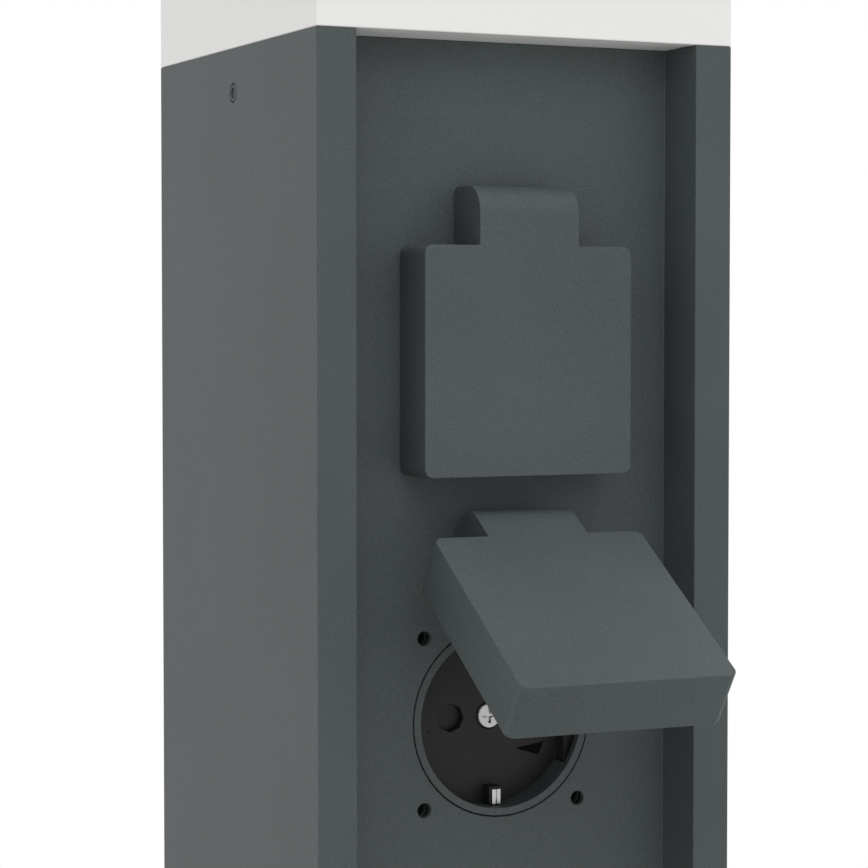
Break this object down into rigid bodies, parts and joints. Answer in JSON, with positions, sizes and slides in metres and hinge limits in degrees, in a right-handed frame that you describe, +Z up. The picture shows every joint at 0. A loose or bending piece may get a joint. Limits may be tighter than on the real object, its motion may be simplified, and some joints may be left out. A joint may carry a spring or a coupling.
{
  "type": "garden lamp post with sockets",
  "caption": "Square post lamp with an opal head and flap-covered round sockets in its front channel.",
  "frame": {"origin": "centre of the anchor bolt square, on the ground", "axes": "+Z up along the post, -Y out of the front with the sockets, +X to the right seen from the front"},
  "size_m": [0.16, 0.1758, 0.8],
  "materials": {
    "slate_coat": "fine-grained powder coat, slate grey",
    "white_coat": "smooth powder coat, white",
    "opal_hood": "opal plastic, satin",
    "socket_black": "black moulded plastic",
    "seal_rubber": "soft black rubber",
    "bright_steel": "stainless, brushed",
    "contact_brass": "bright brass",
    "bare_aluminium": "mill finish",
    "base_cream": "moulded thermoset, cream",
    "box_grey": "moulded plastic, light grey",
    "board_white": "solder mask, white",
    "chip_amber": "phosphor under clear resin",
    "lead_sheath": "PVC sheath, black",
    "earth_sheath": "PVC sheath, green and yellow",
    "washer_white": "slippery plastic, off-white"
  },
  "bodies": {
    "root": {"post": "slate_coat", "panel_studs": "bright_steel", "carrier_nuts": "bright_steel", "foot_plate": "slate_coat", "foot_seal": "seal_rubber", "foot_screws": "bright_steel", "cable_grommet": "seal_rubber", "rail": "bright_steel", "rail_screws": "bright_steel", "junction_box": "box_grey", "junction_cover": "box_grey", "junction_screws": "bright_steel", "terminal_block": "base_cream", "terminal_screws": "contact_brass", "supply_gland": "socket_black", "outlet_grommets": "seal_rubber", "earth_stud": "contact_brass", "earth_lead": "earth_sheath", "socket_leads": "lead_sheath", "lamp_leads": "lead_sheath", "head_base": "white_coat", "hood": "opal_hood", "hood_seal": "seal_rubber", "hood_screws": "bright_steel", "set_screws": "slate_coat", "lamp_plate": "bare_aluminium", "lamp_board": "board_white", "lamp_chips": "chip_amber", "lamp_screws": "bright_steel", "driver": "box_grey", "driver_screws": "bright_steel", "rear_box_screws": "bright_steel", "upper_carrier": "slate_coat", "upper_panel_seal": "seal_rubber", "upper_insert": "socket_black", "upper_base": "base_cream", "upper_centre_screw": "bright_steel", "upper_earth_strap": "bright_steel", "upper_contacts": "contact_brass", "upper_rear_box": "socket_black", "lower_carrier": "slate_coat", "lower_panel_seal": "seal_rubber", "lower_insert": "socket_black", "lower_base": "base_cream", "lower_centre_screw": "bright_steel", "lower_earth_strap": "bright_steel", "lower_contacts": "contact_brass", "lower_rear_box": "socket_black"},
    "upper_flap": {"upper_flap": "slate_coat", "upper_flap_gasket": "seal_rubber", "upper_hinge_pin": "bright_steel", "upper_hinge_washers": "washer_white"},
    "lower_flap": {"lower_flap": "slate_coat", "lower_flap_gasket": "seal_rubber", "lower_hinge_pin": "bright_steel", "lower_hinge_washers": "washer_white"},
    "upper_shutter": {"upper_shutter": "socket_black"},
    "lower_shutter": {"lower_shutter": "socket_black"}
  },
  "joints": [
    {"name": "upper_flap_hinge", "type": "hinge", "parent": "root", "child": "upper_flap", "pos_m": [0, -0.038, 0.6462], "axis": [-1, 0, 0], "range_deg": [0, 87.5]},
    {"name": "lower_flap_hinge", "type": "hinge", "parent": "root", "child": "lower_flap", "pos_m": [0, -0.038, 0.569], "axis": [-1, 0, 0], "range_deg": [-57.5, 30]},
    {"name": "upper_shutter_turn", "type": "hinge", "parent": "root", "child": "upper_shutter", "pos_m": [0, -0.026, 0.6072], "axis": [0, -1, 0], "range_deg": [0, 50], "stiffness_Nm_per_rad": 0.002},
    {"name": "lower_shutter_turn", "type": "hinge", "parent": "root", "child": "lower_shutter", "pos_m": [0, -0.026, 0.53], "axis": [0, -1, 0], "range_deg": [0, 50], "stiffness_Nm_per_rad": 0.002}
  ]
}
